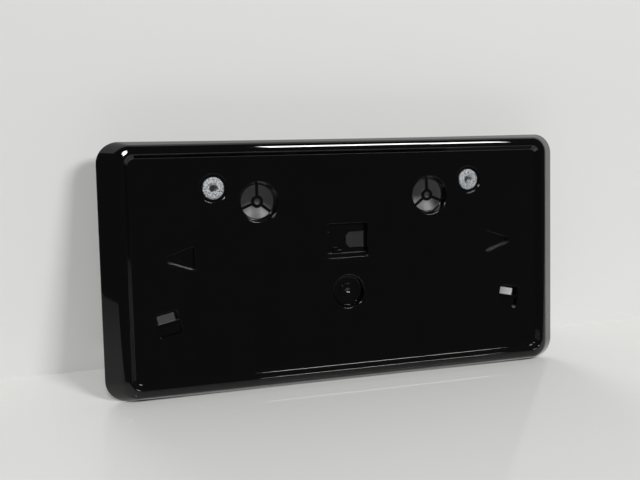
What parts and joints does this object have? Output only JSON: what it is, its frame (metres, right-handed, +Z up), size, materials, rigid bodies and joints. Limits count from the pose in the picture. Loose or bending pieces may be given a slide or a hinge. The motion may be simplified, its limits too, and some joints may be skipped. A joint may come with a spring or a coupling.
{
  "type": "number plate holder",
  "caption": "Shallow gloss-black moulded tray that a car number plate screws into, with metal threaded inserts, flared skirt and ribbed back.",
  "frame": {"origin": "on the plate seat, midway between the two plate screws; the seat is also the front face of the threaded inserts", "axes": "+X to the right seen from the front, +Y back towards the bumper, +Z up"},
  "size_m": [0.3758, 0.0122, 0.1882],
  "materials": {
    "moulding": "polished gloss black, as moulded",
    "insert_metal": "zinc plated, slightly grainy"
  },
  "bodies": {
    "root": {"holder": "moulding", "threaded_inserts": "insert_metal"}
  },
  "joints": []
}
